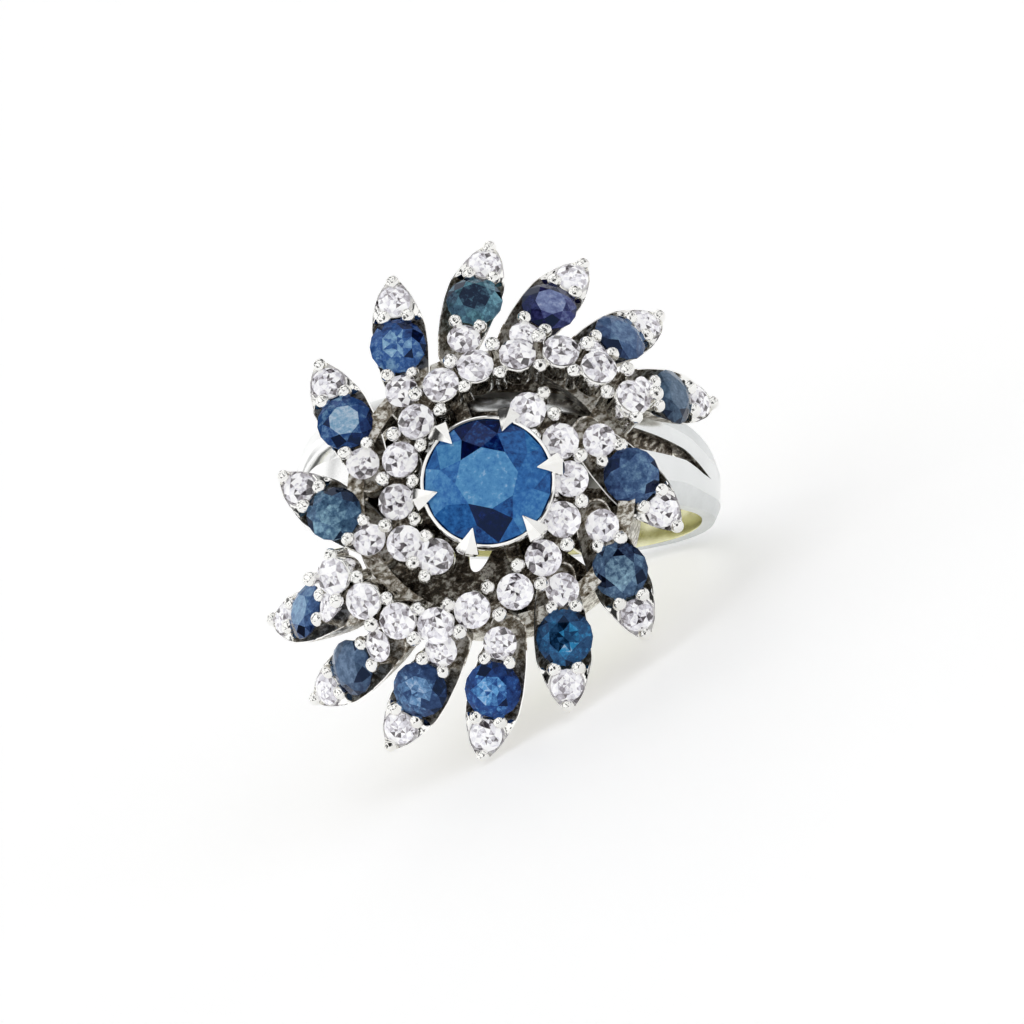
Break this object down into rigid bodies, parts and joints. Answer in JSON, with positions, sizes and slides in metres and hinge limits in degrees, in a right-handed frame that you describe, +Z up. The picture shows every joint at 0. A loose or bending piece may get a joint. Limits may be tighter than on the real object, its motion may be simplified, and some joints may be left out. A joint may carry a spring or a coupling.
{
  "type": "sapphire and diamond cluster ring",
  "caption": "Pinwheel cluster ring: a claw-set blue sapphire, raised spiral arms of diamonds and pointed sapphire and diamond rays, on a white gold shank with split shoulders.",
  "frame": {"origin": "centre of the finger hole, on its axis and halfway along the width of the shank", "axes": "the ring lies on its side as it rests by itself on a floor: +Z up, the face of the cluster towards -Y and tilted slightly up, the finger axis slanted"},
  "size_m": [0.0234, 0.0254, 0.0203],
  "materials": {
    "white_gold": "polished",
    "sapphire_centre": "polished, faceted",
    "sapphire_ray": "polished, faceted",
    "diamond": "polished, faceted"
  },
  "bodies": {
    "root": {"mount": "white_gold", "centre_sapphire": "sapphire_centre", "arm_a_diamonds": "diamond", "arm_b_diamonds": "diamond", "inner_diamonds": "diamond", "ray_sapphire_1": "sapphire_ray", "ray_sapphire_2": "sapphire_ray", "ray_sapphire_3": "sapphire_ray", "ray_sapphire_4": "sapphire_ray", "ray_sapphire_5": "sapphire_ray", "ray_sapphire_6": "sapphire_ray", "ray_sapphire_7": "sapphire_ray", "ray_sapphire_8": "sapphire_ray", "ray_sapphire_9": "sapphire_ray", "ray_sapphire_10": "sapphire_ray", "ray_sapphire_11": "sapphire_ray", "ray_sapphire_12": "sapphire_ray", "ray_sapphire_13": "sapphire_ray", "ray_sapphire_14": "sapphire_ray", "tip_diamond_1": "diamond", "tip_diamond_2": "diamond", "tip_diamond_3": "diamond", "tip_diamond_4": "diamond", "tip_diamond_5": "diamond", "tip_diamond_6": "diamond", "tip_diamond_7": "diamond", "tip_diamond_8": "diamond", "tip_diamond_9": "diamond", "tip_diamond_10": "diamond", "tip_diamond_11": "diamond", "tip_diamond_12": "diamond", "tip_diamond_13": "diamond", "tip_diamond_14": "diamond"}
  },
  "joints": []
}
